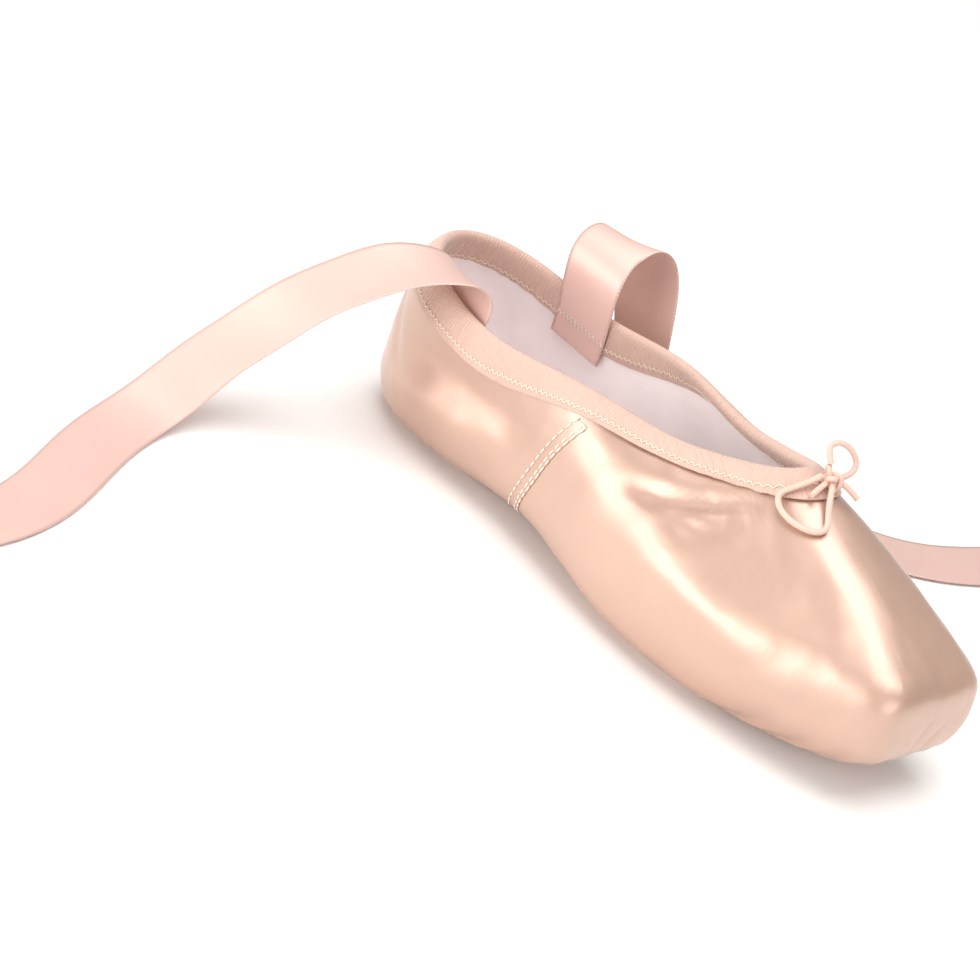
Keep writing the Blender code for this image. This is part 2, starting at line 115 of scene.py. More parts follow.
END_LEFT = ((0.0581, 0.0029, 0.0695), (0.0603, 0.0045, 0.0681), (0.0620, 0.0056, 0.0668))

# Ribbons, the same routes as the solids: centre points and the turn of the width in plan, in degrees
RIBBON_WIDTH = 0.022
RIBBON_THICKNESS = 0.0003
RIBBON_RIGHT = (
    (-0.0776, -0.0232, 0.0375, -5), (-0.0772, -0.0230, 0.0430, -5), (-0.0766, -0.0220, 0.0485, -6),
    (-0.0764, -0.0206, 0.0535, -7), (-0.0768, -0.0201, 0.0580, -8), (-0.0790, -0.0238, 0.0626, -7),
    (-0.0842, -0.0323, 0.0628, -5), (-0.0910, -0.0422, 0.0590, -4), (-0.0984, -0.0526, 0.0505, -3),
    (-0.1054, -0.0636, 0.0386, -1), (-0.1110, -0.0752, 0.0256, 3), (-0.1140, -0.0868, 0.0134, 9),
    (-0.1140, -0.0982, 0.0046, 15), (-0.1112, -0.1100, 0.0012, 21), (-0.1055, -0.1230, 0.0008, 27),
    (-0.0975, -0.1365, 0.0008, 31), (-0.0885, -0.1500, 0.0008, 31), (-0.0805, -0.1645, 0.0008, 24),
    (-0.0755, -0.1800, 0.0008, 12), (-0.0745, -0.1960, 0.0008, -2), (-0.0775, -0.2120, 0.0008, -16),
)
RIBBON_LEFT = (
    (-0.0680, 0.0239, 0.0370, 1), (-0.0677, 0.0237, 0.0430, 1), (-0.0674, 0.0228, 0.0488, 2),
    (-0.0672, 0.0215, 0.0543, 4), (-0.0674, 0.0210, 0.0600, 5), (-0.0683, 0.0218, 0.0656, 6),
    (-0.0696, 0.0246, 0.0704, 8), (-0.0705, 0.0292, 0.0735, 11), (-0.0701, 0.0346, 0.0744, 15),
    (-0.0687, 0.0394, 0.0722, 19), (-0.0669, 0.0426, 0.0676, 22), (-0.0649, 0.0442, 0.0614, 22),
    (-0.0629, 0.0449, 0.0545, 18), (-0.0609, 0.0453, 0.0472, 11), (-0.0588, 0.0458, 0.0396, 2),
    (-0.0565, 0.0468, 0.0316, -8), (-0.0539, 0.0486, 0.0238, -18), (-0.0504, 0.0520, 0.0162, -27),
    (-0.0460, 0.0572, 0.0092, -33), (-0.0405, 0.0640, 0.0038, -37), (-0.0345, 0.0712, 0.0012, -43),
    (-0.0275, 0.0778, 0.0008, -50), (-0.0195, 0.0836, 0.0008, -56), (-0.0110, 0.0888, 0.0008, -60),
    (-0.0025, 0.0935, 0.0008, -60), (0.0062, 0.0982, 0.0008, -56), (0.0145, 0.1038, 0.0008, -49),
    (0.0217, 0.1112, 0.0008, -39), (0.0274, 0.1200, 0.0008, -29), (0.0315, 0.1300, 0.0008, -21),
    (0.0346, 0.1405, 0.0008, -16), (0.0370, 0.1512, 0.0008, -13),
)

# Stitching: the tape's zigzag rows, the side seams' three rows and the outsole's two rows
ZIGZAG_ABOVE_EDGE = 0.0015
ZIGZAG_HALF_HEIGHT = 0.0005
LONGEST_REACH, SHORTEST_REACH, REACH_STEP = 0.0118, 0.0075, 0.0002
SEAM_ROWS = (-0.0020, 0.0008, 0.0020)
SEAM_HALF_WIDTH = 0.00275
SEAM_GAP = 0.0005
SOLE_ROW_GAP = 0.0021
SOLE_ROW_START = 0.010
SOLE_GAP = 0.0010
SOLE_LOWEST = -0.00022

# Creases of the satin: points in shares of the upper's box from heel to toe, right to left and floor up, then
# the half width and height in millimetres. A negative height is a trough, a positive one a ridge.
CREASES = (
    ("pocket beside the tape", ((.545, .086, .645), (.570, .100, .672), (.602, .124, .698),
     (.640, .180, .755), (.672, .250, .815), (.705, .310, .860)), 3.1, -1.3),
    ("fold above the pocket", ((.575, .150, .735), (.605, .185, .765), (.640, .235, .805),
     (.680, .290, .850)), 3.2, 0.3),
    ("dent below the pocket", ((.618, .108, .668), (.642, .110, .664), (.668, .128, .680),
     (.702, .232, .785)), 3.2, -0.55),
    ("fold between the dents", ((.600, .094, .650), (.636, .128, .700), (.680, .200, .760)), 2.6, 0.35),
    ("pocket, far side", ((.560, .900, .672), (.602, .876, .698), (.640, .820, .755), (.690, .720, .830)),
     2.6, -1.0),
    ("swell of the wing, near side", ((.600, .030, .500), (.700, .030, .470), (.800, .050, .400),
     (.900, .120, .300)), 7.0, 0.7),
    ("swell of the wing, far side", ((.600, .970, .500), (.700, .970, .470), (.800, .950, .400),
     (.900, .880, .300)), 7.0, 0.6),
    ("hollow of the quarter, near side", ((.100, .160, .460), (.180, .135, .470), (.260, .125, .480),
     (.350, .115, .530)), 5.5, -1.0),
    ("swell below the hollow, near side", ((.080, .150, .250), (.160, .135, .250), (.250, .125, .270),
     (.340, .110, .360)), 7.0, 1.7),
    ("swell below the hollow, far side", ((.060, .820, .200), (.140, .900, .200), (.220, .920, .200),
     (.300, .925, .200)), 8.5, 1.0),
    ("hollow of the quarter, far side", ((.075, .820, .430), (.150, .880, .410), (.230, .890, .390),
     (.300, .895, .370)), 7.0, -0.7),
    ("pull at the heel", ((.030, .340, .720), (.040, .270, .560), (.070, .210, .400), (.110, .170, .280)),
     2.6, -0.7),
    ("fold beside the seam", ((.395, .080, .640), (.385, .070, .500), (.370, .085, .350),
     (.350, .120, .200)), 2.4, 0.5),
    ("furrow beside the seam", ((.480, .060, .600), (.470, .048, .460), (.450, .060, .320),
     (.430, .110, .180)), 2.0, -0.4),
    ("platform wrinkle 1", ((.985, .250, .400), (.975, .230, .310), (.962, .235, .215)), 1.0, -0.65),
    ("platform wrinkle 2", ((.992, .320, .420), (.985, .290, .300), (.970, .290, .190)), 1.0, -0.65),
    ("platform wrinkle 3", ((.995, .400, .430), (.990, .360, .300), (.976, .350, .180)), 1.0, -0.62),
    ("platform wrinkle 4", ((.997, .490, .420), (.993, .440, .290), (.980, .420, .170)), 1.0, -0.56),
    ("platform wrinkle 5", ((.997, .590, .400), (.994, .530, .270), (.982, .500, .160)), 1.0, -0.48),
)


# Sizes and colours that a user may change

class PointeSizes(bpy.types.PropertyGroup):
    thread: FloatProperty(name="Thread", description="Thickness of the pale thread", default=0.00042,
                          unit="LENGTH", precision=5)
    zigzag: FloatProperty(name="Zigzag", description="Length of one zigzag of the tape's stitching",
                          default=0.0020, unit="LENGTH", precision=4)
    rib: FloatProperty(name="Tape rib", description="Distance between two ribs of the tape", default=0.0010,
                       unit="LENGTH", precision=4)
    seam_stitch: FloatProperty(name="Seam stitch", description="Length of a stitch of the side seams",
                               default=0.0026, unit="LENGTH", precision=4)
    sole_stitch: FloatProperty(name="Sole stitch", description="Length of a stitch of the outsole",
                               default=0.0036, unit="LENGTH", precision=4)
    channel: FloatProperty(name="Channel", description="Distance of the sole's stitches from its edge",
                           default=0.0052, unit="LENGTH", precision=4)
    crease: FloatProperty(name="Crease", description="How deep the satin's creases are", default=1.5,
                          subtype="FACTOR", min=0, max=2)


class PointeColours(bpy.types.PropertyGroup):
    satin: FloatVectorProperty(name="Satin", description="Colour of the satin", default=(0.50, 0.292, 0.205),
                               subtype="COLOR", min=0, max=1)
    tape: FloatVectorProperty(name="Tape", description="Colour of the collar's tape and the drawstring",
                              default=(0.71, 0.475, 0.39), subtype="COLOR", min=0, max=1)
    lining: FloatVectorProperty(name="Lining", description="Colour of the cotton lining",
                                default=(0.97, 0.89, 0.89), subtype="COLOR", min=0, max=1)
    ribbon: FloatVectorProperty(name="Ribbon", description="Colour of the ribbons",
                                default=(0.70, 0.465, 0.405), subtype="COLOR", min=0, max=1)
    leather: FloatVectorProperty(name="Leather", description="Colour of the outsole",
                                 default=(0.70, 0.44, 0.34), subtype="COLOR", min=0, max=1)
    thread: FloatVectorProperty(name="Thread", description="Colour of the pale thread",
                                default=(0.94, 0.80, 0.66), subtype="COLOR", min=0, max=1)
    dark_thread: FloatVectorProperty(name="Dark thread", description="Colour of the outsole's thread",
                                     default=(0.12, 0.085, 0.07), subtype="COLOR", min=0, max=1)


# Shader values and materials

class Reading:
    """A number from a node; sums with it add Math nodes."""

    def __init__(self, finish, socket):
        self.finish = finish
        self.socket = socket

    def math(self, operation, *values):
        return self.finish.add("Math", {"operation": operation}, dict(enumerate(values)))

    def __add__(self, other):
        return self.math("ADD", self, other)

    def __radd__(self, other):
        return self.math("ADD", other, self)

    def __sub__(self, other):
        return self.math("SUBTRACT", self, other)

    def __rsub__(self, other):
        return self.math("SUBTRACT", other, self)

    def __mul__(self, other):
        return self.math("MULTIPLY", self, other)

    def __rmul__(self, other):
        return self.math("MULTIPLY", other, self)

    def sine(self):
        return self.math("SINE", self)

    def absolute(self):
        return self.math("ABSOLUTE", self)

    def fade(self, start, end):
        """0 before start and 1 after end, smooth between."""
        return self.finish.add("MapRange", {"interpolation_type": "SMOOTHSTEP"},
                               {"Value": self, "From Min": start, "From Max": end}, "Result")


class Finish:
    """A Principled material, with short ways to add nodes to it."""

    def __init__(self, name, **constants):
        self.material = bpy.data.materials.new(name)
        self.material.use_nodes = True
        self.tree = self.material.node_tree
        self.shader = self.tree.nodes["Principled BSDF"]
        for socket, value in constants.items():
            self.shader.inputs[socket.replace("_", " ").title()].default_value = value

    def put(self, socket, value):
        """Give a socket a link or a value."""
        if isinstance(value, Reading):
            self.tree.links.new(value.socket, socket)
        elif isinstance(value, (tuple, list)) and len(value) == 3 and len(socket.default_value) == 4:
            socket.default_value = (*value, 1)
        else:
            socket.default_value = value

    def add(self, kind, settings=None, sockets=None, output=0):
        """A node with its settings first and then its sockets; gives its output."""
        node = self.tree.nodes.new("ShaderNode" + kind)
        for key, value in (settings or {}).items():
            setattr(node, key, value)
        for key, value in (sockets or {}).items():
            self.put(node.inputs[key], value)
        return Reading(self, node.outputs[output])

    def place(self):
        """Place on the object, in metres."""
        return self.add("TexCoord", output="Object")

    def stretched(self, *scale):
        return self.add("Mapping", None, {"Vector": self.place(), "Scale": scale})

    def noise(self, scale, detail=3, vector=None, roughness=0.5):
        vector = vector or self.place()
        return self.add("TexNoise", None,
                        {"Vector": vector, "Scale": scale, "Detail": detail, "Roughness": roughness})

    def attribute(self, name):
        return self.add("Attribute", {"attribute_name": name}, output="Fac")

    def along(self):
        """The piece's own measure along and across, from its UV map, in millimetres."""
        split = self.add("SeparateXYZ", None, {0: self.add("UVMap", {"uv_map": "cloth"})})
        node = split.socket.node
        return Reading(self, node.outputs[0]), Reading(self, node.outputs[1])

    def mix(self, share, first, second):
        """Colour between two colours."""
        node = self.tree.nodes.new("ShaderNodeMix")
        node.data_type = "RGBA"
        self.put(node.inputs["Factor"], share)
        self.put(node.inputs[6], first)
        self.put(node.inputs[7], second)
        return Reading(self, node.outputs[2])

    def cloudy(self, patches, base, dark, pale):
        """A base colour that drifts between two shares of itself."""
        return self.mix(patches.fade(0.3, 0.7), shade(base, dark), shade(base, pale))

    def colour(self, value):
        self.put(self.shader.inputs["Base Color"], value)

    def roughness(self, value):
        self.put(self.shader.inputs["Roughness"], value)

    def bump(self, height, distance, strength=1.0):
        """Relief of a height from 0 to 1, as deep as distance in metres."""
        relief = self.add("Bump", None, {"Height": height, "Distance": distance, "Strength": strength})
        self.put(self.shader.inputs["Normal"], relief)


def shade(colour, share):
    """A colour made lighter or darker."""
    return tuple(min(1.0, c * share) for c in colour)


def make_finishes(colours, sizes):
    """All materials, by name."""
    made = {}

    satin = Finish("satin cloth", metallic=0.45, coat_weight=1.0, coat_roughness=0.42)
    satin.shader.inputs["Coat IOR"].default_value = 2.0
    satin.shader.inputs["Specular IOR Level"].default_value = 0.75
    base = tuple(colours.satin)
    large = satin.noise(22, 4)
    threads = satin.noise(1.0, 2, satin.stretched(1900, 110, 110))
    crossing = satin.noise(1.0, 2, satin.stretched(240, 1700, 1700))
    tone = satin.cloudy(large, base, 0.95, 1.05)
    tone = satin.mix(threads * 0.35, tone, shade(base, 1.14))
    satin.colour(tone)
    satin.roughness(0.32 + large * 0.08 + threads * 0.08)
    satin.bump(threads * 0.7 + crossing * 0.3, 0.0001)
    made["satin"] = satin.material

    lining = Finish("cotton lining", roughness=0.92, sheen_weight=0.25, sheen_roughness=0.5)
    base = tuple(colours.lining)
    warp = lining.noise(1.0, 2, lining.stretched(380, 2100, 2100))
    weft = lining.noise(1.0, 2, lining.stretched(2100, 380, 380))
    soft = lining.noise(30, 3)
    lining.colour(lining.cloudy(soft, base, 0.94, 1.04))
    lining.bump(warp * 0.5 + weft * 0.5, 0.00015)
    made["lining"] = lining.material

    tape = Finish("ribbed tape", roughness=0.8, sheen_weight=0.4, sheen_roughness=0.45)
    base = tuple(colours.tape)
    along, _ = tape.along()
    ribs = (along * (2 * math.pi / round(sizes.rib / MM, 3))).sine() * 0.5 + 0.5
    fluff = tape.noise(900, 3)
    patch = tape.noise(60, 3)
    tone = tape.cloudy(patch, base, 0.96, 1.05)
    # Painted shade: the tape's colour is darkest in the valleys between its ribs, following the ribs' bump.
    tape.colour(tape.mix(ribs * 0.28, shade(base, 0.88), tone))
    tape.bump(ribs * 0.7 + fluff * 0.3, 0.0003)
    made["tape"] = tape.material

    thread = Finish("pale thread", roughness=0.55, sheen_weight=0.3)
    base = tuple(colours.thread)
    twist = thread.noise(2600, 2)
    thread.colour(thread.mix(twist, shade(base, 0.82), base))
    thread.bump(twist, 0.0001)
    made["thread"] = thread.material

    dark = Finish("dark thread", roughness=0.6)
    base = tuple(colours.dark_thread)
    twist = dark.noise(2400, 2)
    dark.colour(dark.mix(twist, shade(base, 0.7), shade(base, 1.5)))
    dark.bump(twist, 0.0001)
    made["dark thread"] = dark.material

    cord = Finish("braided cord", roughness=0.62, sheen_weight=0.4, sheen_roughness=0.4)
    base = shade(tuple(colours.tape), 1.06)
    first = cord.noise(1.0, 1, cord.stretched(1500, 700, 1500))
    strands = cord.noise(1500, 2)
    cord.colour(cord.mix(first * 0.6, shade(base, 0.9), shade(base, 1.08)))
    cord.bump(first * 0.6 + strands * 0.4, 0.00025)
    made["cord"] = cord.material

    ribbon = Finish("satin ribbon", roughness=0.42, metallic=0.1, coat_weight=0.25, coat_roughness=0.4)
    ribbon.shader.inputs["Specular IOR Level"].default_value = 0.7
    base = tuple(colours.ribbon)
    along, across = ribbon.along()
    edge = across.absolute().fade(9.6, 10.4)
    lines = ribbon.noise(1.0, 2, ribbon.add("Mapping", None, {
        "Vector": ribbon.add("UVMap", {"uv_map": "cloth"}), "Scale": (0.25, 7.0, 1.0)}))
    picot = (along * (2 * math.pi / 1.1)).sine() * 0.5 + 0.5
    large = ribbon.noise(35, 2)
    tone = ribbon.cloudy(large, base, 0.97, 1.03)
    tone = ribbon.mix(lines * 0.3, tone, shade(base, 1.12))
    ribbon.colour(ribbon.mix(edge * (0.4 + picot * 0.4), tone, shade(base, 0.9)))
    ribbon.bump(lines * 0.35 * (1 - edge) + edge * (0.5 + picot * 0.5), 0.00016)
    made["ribbon"] = ribbon.material

    leather = Finish("sole leather", roughness=0.6)
    leather.shader.inputs["Specular IOR Level"].default_value = 0.4
    base = tuple(colours.leather)
    inset = leather.attribute("inset")
    grain = leather.noise(700, 4)
    cloud = leather.noise(28, 5)
    pores = leather.noise(1900, 2)
    # The stitch channel's groove, on the underside only: the bump sinks it, and the colour is darkened there
    # as painted shade.
    shaded_groove = (1 - ((inset - 5.2).absolute() - 0.25).fade(0.0, 0.55)) * leather.attribute("underside")
    rim = 1 - inset.fade(0.2, 1.3)
    tone = leather.mix(cloud.fade(0.32, 0.68), shade(base, 0.93), shade(base, 1.07))
    tone = leather.mix(grain * 0.25, tone, shade(base, 0.85))
    tone = leather.mix(shaded_groove * 0.5, tone, shade(base, 0.62))
    leather.colour(leather.mix(rim * 0.3, tone, shade(base, 0.72)))
    leather.roughness(0.55 + cloud * 0.2)
    leather.bump(grain * 0.3 + pores * 0.2 - shaded_groove * 1.0, 0.0003)
    made["leather"] = leather.material

    sock = Finish("insole sock", roughness=0.9, sheen_weight=0.2)
    base = shade(tuple(colours.lining), 1.03)
    weave = sock.noise(1.0, 2, sock.stretched(1400, 1400, 500))
    cloud = sock.noise(40, 3)
    sock.colour(sock.mix(cloud.fade(0.3, 0.7), shade(base, 0.93), base))
    sock.bump(weave, 0.00015)
    made["sock"] = sock.material

    floor = Finish("studio floor", roughness=0.9)
    floor.colour((0.93, 0.93, 0.925))
    made["floor"] = floor.material
    return made


FINISHES = {}


def finish(name):
    if not FINISHES:
        FINISHES.update(make_finishes(bpy.context.scene.pointe_colours, bpy.context.scene.pointe_sizes))
    return FINISHES[name]


# Lines, surfaces and pieces

def curve_line(points, count, closed, rule):
    """Places along a curve; a rule gives each from four neighbouring points and the share between."""
    points = np.array(points, float)
    if closed:
        ends = np.concatenate((points[-1:], points, points[:2]))
        spans = len(points)
    else:
        ends = np.concatenate(([2 * points[0] - points[1]], points, [2 * points[-1] - points[-2]]))
        spans = len(points) - 1
    placed = []
    for k in range(count):
        t = spans * k / (count if closed else count - 1)
        cell = min(int(t), spans - 1)
        placed.append(rule(*ends[cell:cell + 4], t - cell))
    return np.array(placed)


def smooth_line(points, count):
    """Places along the smooth curve that the solids follow."""
    return curve_line(points, count, False, lambda a, b, c, d, t: (
        (1 - t) ** 3 / 6 * a + (3 * t ** 3 - 6 * t ** 2 + 4) / 6 * b
        + (-3 * t ** 3 + 3 * t ** 2 + 3 * t + 1) / 6 * c + t ** 3 / 6 * d))


def through_line(points, count, closed=False):
    """Places along a smooth curve that passes through its points."""
    return curve_line(points, count, closed, lambda a, b, c, d, t: 0.5 * (
        2 * b + (c - a) * t + (2 * a - 5 * b + 4 * c - d) * t ** 2 + (3 * b - a - 3 * c + d) * t ** 3))


def lengths_along(points):
    """Length of a line up to each of its places; columns after the third don't count."""
    return np.concatenate(([0], np.cumsum(np.linalg.norm(np.diff(points[:, :3], axis=0), axis=1))))


def even_line(points, step, closed=False):
    """The same line with places an even step apart."""
    if closed:
        points = np.concatenate((points, points[:1]))
    lengths = lengths_along(points)
    count = max(2, round(lengths[-1] / step) + 1)
    marks = np.linspace(0, lengths[-1], count)
    placed = np.stack([np.interp(marks, lengths, points[:, axis]) for axis in range(points.shape[1])], axis=1)
    return placed[:-1] if closed else placed


def collar_line(step=0.0005):
    """The collar's ridge all the way round, from the throat over the left side to the heel and back."""
    left = list(COLLAR)
    right = [(x, -y, z) for x, y, z in COLLAR[-2:0:-1]]
    return even_line(through_line(left + right, 720, closed=True) * MM, step, closed=True)


def new_object(name, data, *finishes):
    made = bpy.data.objects.new(name, data)
    bpy.context.collection.objects.link(made)
    for each in finishes:
        data.materials.append(finish(each))
    return made


def from_bmesh(name, bm, *finishes):
    mesh = bpy.data.meshes.new(name)
    bm.to_mesh(mesh)
    bm.free()
    mesh.shade_smooth()
    return new_object(name, mesh, *finishes)


def fixed(obj):
    """Apply an object's modifiers, or turn a curve into a mesh."""
    depsgraph = bpy.context.evaluated_depsgraph_get()
    depsgraph.update()
    mesh = bpy.data.meshes.new_from_object(obj.evaluated_get(depsgraph), preserve_all_data_layers=True,
                                           depsgraph=depsgraph)
    name = obj.name
    old = obj.data
    if obj.type == "MESH":
        obj.modifiers.clear()
        obj.data = mesh
        made = obj
    else:
        bpy.data.objects.remove(obj)
        made = bpy.data.objects.new(name, mesh)
        bpy.context.collection.objects.link(made)
    mesh.name = name
    old.name = name + " before"
    mesh.shade_smooth()
    return made


def copy_of_node(node, name, levels, *finishes):
    """A merged copy of a CAD node in four-sided faces, made finer."""
    bm = bmesh.new()
    bm.from_mesh(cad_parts[node].data)
    bmesh.ops.remove_doubles(bm, verts=bm.verts, dist=1e-6)
    bmesh.ops.join_triangles(bm, faces=bm.faces, angle_face_threshold=0.9, angle_shape_threshold=3.2)
    for face in bm.faces:
        face.material_index = 0
    made = from_bmesh(name, bm, *finishes)
    if levels:
        subdivision = made.modifiers.new("fine", "SUBSURF")
        subdivision.levels = levels
        subdivision.render_levels = levels
        made = fixed(made)
    return made


def triples(collection, name):
    values = np.empty(len(collection) * 3)
    collection.foreach_get(name, values)
    return values.reshape(-1, 3)


def places_of(mesh):
    return triples(mesh.vertices, "co")


def normals_of(mesh):
    return triples(mesh.vertex_normals, "vector")


def move_to(mesh, places):
    mesh.vertices.foreach_set("co", places.ravel())
    mesh.update()


def nearest_on_line(places, line):
    """For each place the nearest point of a line: its number and its distance."""
    numbers = np.empty(len(places), int)
    distances = np.empty(len(places))
    for start in range(0, len(places), 4000):
        part = places[start:start + 4000]
        apart = np.linalg.norm(part[:, None, :] - line[None, :, :], axis=2)
        numbers[start:start + 4000] = apart.argmin(axis=1)
        distances[start:start + 4000] = apart.min(axis=1)
    return numbers, distances


def measure_cloth(obj, line, closed):
    """UV map "cloth": millimetres along a line and away from it."""
    mesh = obj.data
    numbers, distances = nearest_on_line(places_of(mesh), line)
    step = float(np.linalg.norm(line[1] - line[0]))
    layer = mesh.uv_layers.new(name="cloth")
    corners = np.empty(len(mesh.loops), int)
    mesh.loops.foreach_get("vertex_index", corners)
    along = numbers[corners] * step / MM
    whole = len(line) * step / MM
    if closed:
        for face in mesh.polygons:
            part = slice(face.loop_start, face.loop_start + face.loop_total)
            values = along[part]
            if values.max() - values.min() > whole / 2:
                along[part] = np.where(values < whole / 2, values + whole, values)
    layer.data.foreach_set("uv", np.stack((along, distances[corners] / MM), axis=1).ravel())


def add_attribute(mesh, name, values):
    mesh.attributes.new(name, "FLOAT", "POINT").data.foreach_set("value", np.array(values, float))


class Skin:
    """The surface of an object, to find places on."""

    def __init__(self, obj):
        bm = bmesh.new()
        bm.from_mesh(obj.data)
        self.tree = BVHTree.FromBMesh(bm)
        bm.free()

    def nearest(self, place):
        found, normal, _, _ = self.tree.find_nearest(place)
        return found, normal

    def below(self, ridge, outward, distance):
        """The first place on the surface at a distance from a ridge, turning from outward to down."""
        above = False
        for step in range(80):
            angle = math.radians(-20 + 1.75 * step)
            spot = ridge + (outward * math.cos(angle) - Vector((0, 0, math.sin(angle)))) * distance
            found, normal = self.nearest(spot)
            height = (spot - found).dot(normal)
            if height < 0 and above and (spot - found).length < 0.0004:
                return found, normal
            above = height > 0
        return None


def tube(name, points, diameter, *finishes, sides=2, closed=False):
    """A round tube along points, as a curve."""
    curve = bpy.data.curves.new(name, "CURVE")
    curve.dimensions = "3D"
    curve.bevel_depth = diameter / 2
    curve.bevel_resolution = sides
    curve.use_fill_caps = not closed
    spline = curve.splines.new("POLY")
    spline.points.add(len(points) - 1)
    spline.use_cyclic_u = closed
    for point, place in zip(spline.points, points):
        point.co = (*place, 1)
    return new_object(name, curve, *finishes)


def stitches(name, rows, length, width, height, *finishes):
    """Separate stitches: each row gives a middle, a direction and a normal."""
    bm = bmesh.new()
    for middle, heading, normal in rows:
        made = bmesh.ops.create_uvsphere(bm, u_segments=6, v_segments=5, radius=0.5)
        heading = (heading - normal * heading.dot(normal)).normalized()
        turn = Matrix((heading.cross(normal), normal, heading)).transposed().to_4x4()
        grow = Matrix.Diagonal((width, height, length, 1))
        bmesh.ops.transform(bm, matrix=Matrix.Translation(middle) @ turn @ grow, verts=made["verts"])
    bmesh.ops.recalc_face_normals(bm, faces=bm.faces)
    return from_bmesh(name, bm, *finishes)


def spaced_stitches(line, normals, length, gap):
    """Middles, headings and normals of stitches along a line of places."""
    steps = np.linalg.norm(np.diff(line, axis=0), axis=1)
    marks = np.concatenate(([0], np.cumsum(steps)))
    count = int(marks[-1] / (length + gap))
    rows = []
    for k in range(count):
        here = (k + 0.5) * marks[-1] / count
        number = min(int(np.searchsorted(marks, here)), len(line) - 2)
        middle = Vector([np.interp(here, marks, line[:, axis]) for axis in range(3)])
        rows.append((middle, Vector(line[number + 1] - line[number - 1]), Vector(normals[number])))
    return rows


# Operators, one for each group of like pieces

class POINTE_OT_stage(bpy.types.Operator):
    """Place the camera, the soft lights and the pale floor"""
    bl_idname = "pointe.stage"
    bl_label = "Stage"

    def execute(self, context):
        across = math.cos(CAMERA_ELEVATION)
        back = Vector((math.cos(CAMERA_AZIMUTH) * across, math.sin(CAMERA_AZIMUTH) * across,
                       math.sin(CAMERA_ELEVATION)))
        right = Vector((0, 0, 1)).cross(back).normalized()
        up = back.cross(right)
        rolled_right = right * math.cos(CAMERA_ROLL) + up * math.sin(CAMERA_ROLL)
        rolled_up = back.cross(rolled_right)
        middle = PICTURE_SIZE / 2
        forward = (-back - rolled_right * ((TARGET_PIXEL[0] - middle) / FOCAL_PIXELS)
                   + rolled_up * ((TARGET_PIXEL[1] - middle) / FOCAL_PIXELS)).normalized()
        right = forward.cross(rolled_up).normalized()
        up = right.cross(forward)
        data = bpy.data.cameras.new("camera")
        data.sensor_width = SENSOR
        data.lens = SENSOR * FOCAL_PIXELS / PICTURE_SIZE
        data.clip_start = 0.05
        data.clip_end = 60
        camera = bpy.data.objects.new("camera", data)
        context.collection.objects.link(camera)
        turn = Matrix((right, up, -forward)).transposed().to_4x4()
        camera.matrix_world = Matrix.Translation(CAMERA_TARGET + back * CAMERA_DISTANCE) @ turn
        context.scene.camera = camera

        bm = bmesh.new()
        bmesh.ops.create_grid(bm, x_segments=1, y_segments=1, size=FLOOR_HALF_SIZE)
        bmesh.ops.translate(bm, vec=(0, 0, FLOOR_LEVEL), verts=bm.verts)
        floor = from_bmesh("floor", bm, "floor")

        world = bpy.data.worlds.new("studio")
        world.use_nodes = True
        background = world.node_tree.nodes["Background"]
        background.inputs["Color"].default_value = WORLD_COLOUR
        background.inputs["Strength"].default_value = WORLD_STRENGTH
        context.scene.world = world
        context.scene.view_settings.view_transform = "Standard"
        for row in LIGHTS:
            self.light(context, *row)
        return {"FINISHED"}

    def light(self, context, name, place, size, power, colour):
        data = bpy.data.lights.new(name, "AREA")
        data.shape = "RECTANGLE"
        data.size, data.size_y = size
        data.energy = power
        data.color = colour
        lamp = bpy.data.objects.new(name, data)
        context.collection.objects.link(lamp)
        place = Vector(place)
        lamp.matrix_world = Matrix.Translation(place) @ (-place).to_track_quat("-Z", "Y").to_matrix().to_4x4()


class POINTE_OT_bow(bpy.types.Operator):
    """Make the drawstring's knot, its two loops and its cut ends"""
    bl_idname = "pointe.bow"
    bl_label = "Drawstring bow"

    def execute(self, context):
        inside = ((0.0560, 0.0000, 0.0696), (0.0545, -0.0006, 0.0695))
        right = LOOP_RIGHT + inside + END_RIGHT
        inside = ((0.0552, 0.0014, 0.0700), (0.0566, 0.0018, 0.0699))
        left = LOOP_LEFT + inside + END_LEFT
        for name, points, nodes in (
                ("bow_right", right, ("drawstring_loop_right", "drawstring_end_right")),
                ("bow_left", left, ("drawstring_loop_left", "drawstring_end_left"))):
            line = smooth_line(points, 90)
            cord = tube(name, line, CORD_DIAMETER, "cord", sides=3)
            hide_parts(*nodes)
            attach(cord, BODY)
        turns = []
        for k in range(120):
            t = 2 * math.pi * k / 120
            turns.append((math.sin(t) + 2 * math.sin(2 * t), math.cos(t) - 2 * math.cos(2 * t),
                          -math.sin(3 * t)))
        turns = np.array(turns) / np.array((3, 3, 1))
        reach = [radius - CORD_DIAMETER / 2 for radius in KNOT_RADII]
        slope = np.array(Matrix.Rotation(KNOT_SLOPE, 3, "Y"))
        line = (turns * np.array(reach)) @ slope.T + np.array(KNOT_CENTRE)
        knot = fixed(tube("bow_knot", line, CORD_DIAMETER, "cord", sides=3, closed=True))
        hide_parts("drawstring_knot")
        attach(knot, BODY)
        return {"FINISHED"}


